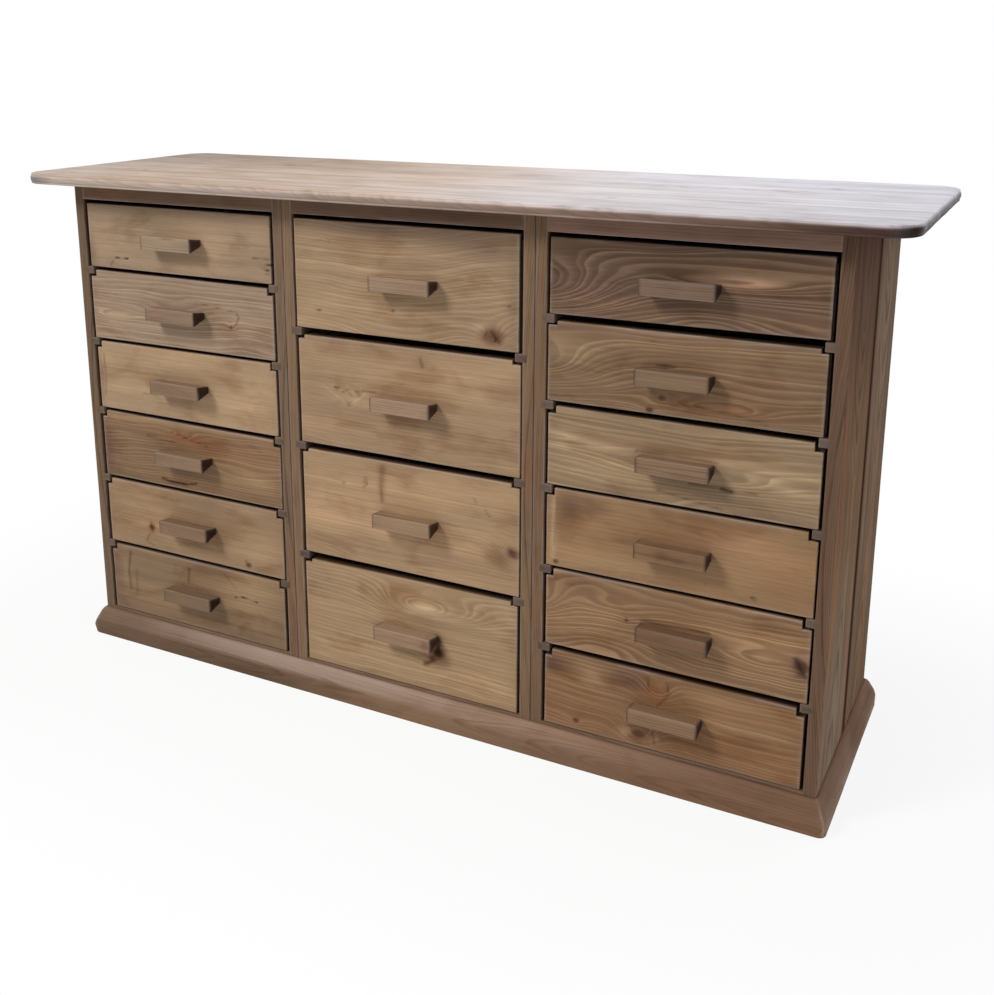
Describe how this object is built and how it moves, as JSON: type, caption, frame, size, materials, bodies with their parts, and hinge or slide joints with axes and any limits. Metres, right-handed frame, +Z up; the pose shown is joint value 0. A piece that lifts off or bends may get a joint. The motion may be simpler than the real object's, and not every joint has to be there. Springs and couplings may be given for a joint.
{
  "type": "seed storage cabinet",
  "caption": "Free-standing counter-height pine cabinet with three columns of sliding drawers, wedge pulls, an overhanging top and a bevelled plinth.",
  "frame": {"origin": "middle of the footprint of the top board's outline, on the floor", "axes": "+X to the right along the front, +Y from front to back, +Z up; the drawers open towards -Y"},
  "size_m": [1.571, 0.51, 0.92],
  "materials": {
    "top_pine": "worn wax, pinkish tan, greyed at the right end",
    "frame_pine": "dark waxed pine",
    "runner_pine": "dark end grain at the front, bare inside",
    "drawer_pine": "satin waxed pine with strong grain and knots",
    "pull_pine": "hand-worn waxed pine",
    "inner_pine": "bare sawn pine, dry and dusty",
    "plinth_pine": "dark waxed pine, scuffed on the bevel",
    "screw_steel": "dull steel wood screw"
  },
  "bodies": {
    "carcass": {"top_board": "top_pine", "left_side": "frame_pine", "right_side": "frame_pine", "left_divider": "frame_pine", "right_divider": "frame_pine", "top_rails": "frame_pine", "runners": "runner_pine", "bottom_boards": "inner_pine", "back_boards": "inner_pine", "plinth_front": "plinth_pine", "plinth_returns": "plinth_pine", "top_screws": "screw_steel"},
    "drawer_left_1": {"drawer_left_1_front": "drawer_pine", "drawer_left_1_box": "inner_pine", "drawer_left_1_pull": "pull_pine"},
    "drawer_left_2": {"drawer_left_2_front": "drawer_pine", "drawer_left_2_box": "inner_pine", "drawer_left_2_pull": "pull_pine"},
    "drawer_left_3": {"drawer_left_3_front": "drawer_pine", "drawer_left_3_box": "inner_pine", "drawer_left_3_pull": "pull_pine"},
    "drawer_left_4": {"drawer_left_4_front": "drawer_pine", "drawer_left_4_box": "inner_pine", "drawer_left_4_pull": "pull_pine"},
    "drawer_left_5": {"drawer_left_5_front": "drawer_pine", "drawer_left_5_box": "inner_pine", "drawer_left_5_pull": "pull_pine"},
    "drawer_left_6": {"drawer_left_6_front": "drawer_pine", "drawer_left_6_box": "inner_pine", "drawer_left_6_pull": "pull_pine"},
    "drawer_centre_1": {"drawer_centre_1_front": "drawer_pine", "drawer_centre_1_box": "inner_pine", "drawer_centre_1_pull": "pull_pine"},
    "drawer_centre_2": {"drawer_centre_2_front": "drawer_pine", "drawer_centre_2_box": "inner_pine", "drawer_centre_2_pull": "pull_pine"},
    "drawer_centre_3": {"drawer_centre_3_front": "drawer_pine", "drawer_centre_3_box": "inner_pine", "drawer_centre_3_pull": "pull_pine"},
    "drawer_centre_4": {"drawer_centre_4_front": "drawer_pine", "drawer_centre_4_box": "inner_pine", "drawer_centre_4_pull": "pull_pine"},
    "drawer_right_1": {"drawer_right_1_front": "drawer_pine", "drawer_right_1_box": "inner_pine", "drawer_right_1_pull": "pull_pine"},
    "drawer_right_2": {"drawer_right_2_front": "drawer_pine", "drawer_right_2_box": "inner_pine", "drawer_right_2_pull": "pull_pine"},
    "drawer_right_3": {"drawer_right_3_front": "drawer_pine", "drawer_right_3_box": "inner_pine", "drawer_right_3_pull": "pull_pine"},
    "drawer_right_4": {"drawer_right_4_front": "drawer_pine", "drawer_right_4_box": "inner_pine", "drawer_right_4_pull": "pull_pine"},
    "drawer_right_5": {"drawer_right_5_front": "drawer_pine", "drawer_right_5_box": "inner_pine", "drawer_right_5_pull": "pull_pine"},
    "drawer_right_6": {"drawer_right_6_front": "drawer_pine", "drawer_right_6_box": "inner_pine", "drawer_right_6_pull": "pull_pine"}
  },
  "joints": [
    {"name": "drawer_left_1_slide", "type": "slide", "parent": "carcass", "child": "drawer_left_1", "axis": [0, -1, 0], "range_m": [0, 0.3]},
    {"name": "drawer_left_2_slide", "type": "slide", "parent": "carcass", "child": "drawer_left_2", "axis": [0, -1, 0], "range_m": [0, 0.3]},
    {"name": "drawer_left_3_slide", "type": "slide", "parent": "carcass", "child": "drawer_left_3", "axis": [0, -1, 0], "range_m": [0, 0.3]},
    {"name": "drawer_left_4_slide", "type": "slide", "parent": "carcass", "child": "drawer_left_4", "axis": [0, -1, 0], "range_m": [0, 0.3]},
    {"name": "drawer_left_5_slide", "type": "slide", "parent": "carcass", "child": "drawer_left_5", "axis": [0, -1, 0], "range_m": [0, 0.3]},
    {"name": "drawer_left_6_slide", "type": "slide", "parent": "carcass", "child": "drawer_left_6", "axis": [0, -1, 0], "range_m": [0, 0.3]},
    {"name": "drawer_centre_1_slide", "type": "slide", "parent": "carcass", "child": "drawer_centre_1", "axis": [0, -1, 0], "range_m": [0, 0.3]},
    {"name": "drawer_centre_2_slide", "type": "slide", "parent": "carcass", "child": "drawer_centre_2", "axis": [0, -1, 0], "range_m": [0, 0.3]},
    {"name": "drawer_centre_3_slide", "type": "slide", "parent": "carcass", "child": "drawer_centre_3", "axis": [0, -1, 0], "range_m": [0, 0.3]},
    {"name": "drawer_centre_4_slide", "type": "slide", "parent": "carcass", "child": "drawer_centre_4", "axis": [0, -1, 0], "range_m": [0, 0.3]},
    {"name": "drawer_right_1_slide", "type": "slide", "parent": "carcass", "child": "drawer_right_1", "axis": [0, -1, 0], "range_m": [0, 0.3]},
    {"name": "drawer_right_2_slide", "type": "slide", "parent": "carcass", "child": "drawer_right_2", "axis": [0, -1, 0], "range_m": [0, 0.3]},
    {"name": "drawer_right_3_slide", "type": "slide", "parent": "carcass", "child": "drawer_right_3", "axis": [0, -1, 0], "range_m": [0, 0.3]},
    {"name": "drawer_right_4_slide", "type": "slide", "parent": "carcass", "child": "drawer_right_4", "axis": [0, -1, 0], "range_m": [0, 0.3]},
    {"name": "drawer_right_5_slide", "type": "slide", "parent": "carcass", "child": "drawer_right_5", "axis": [0, -1, 0], "range_m": [0, 0.3]},
    {"name": "drawer_right_6_slide", "type": "slide", "parent": "carcass", "child": "drawer_right_6", "axis": [0, -1, 0], "range_m": [0, 0.3]}
  ]
}
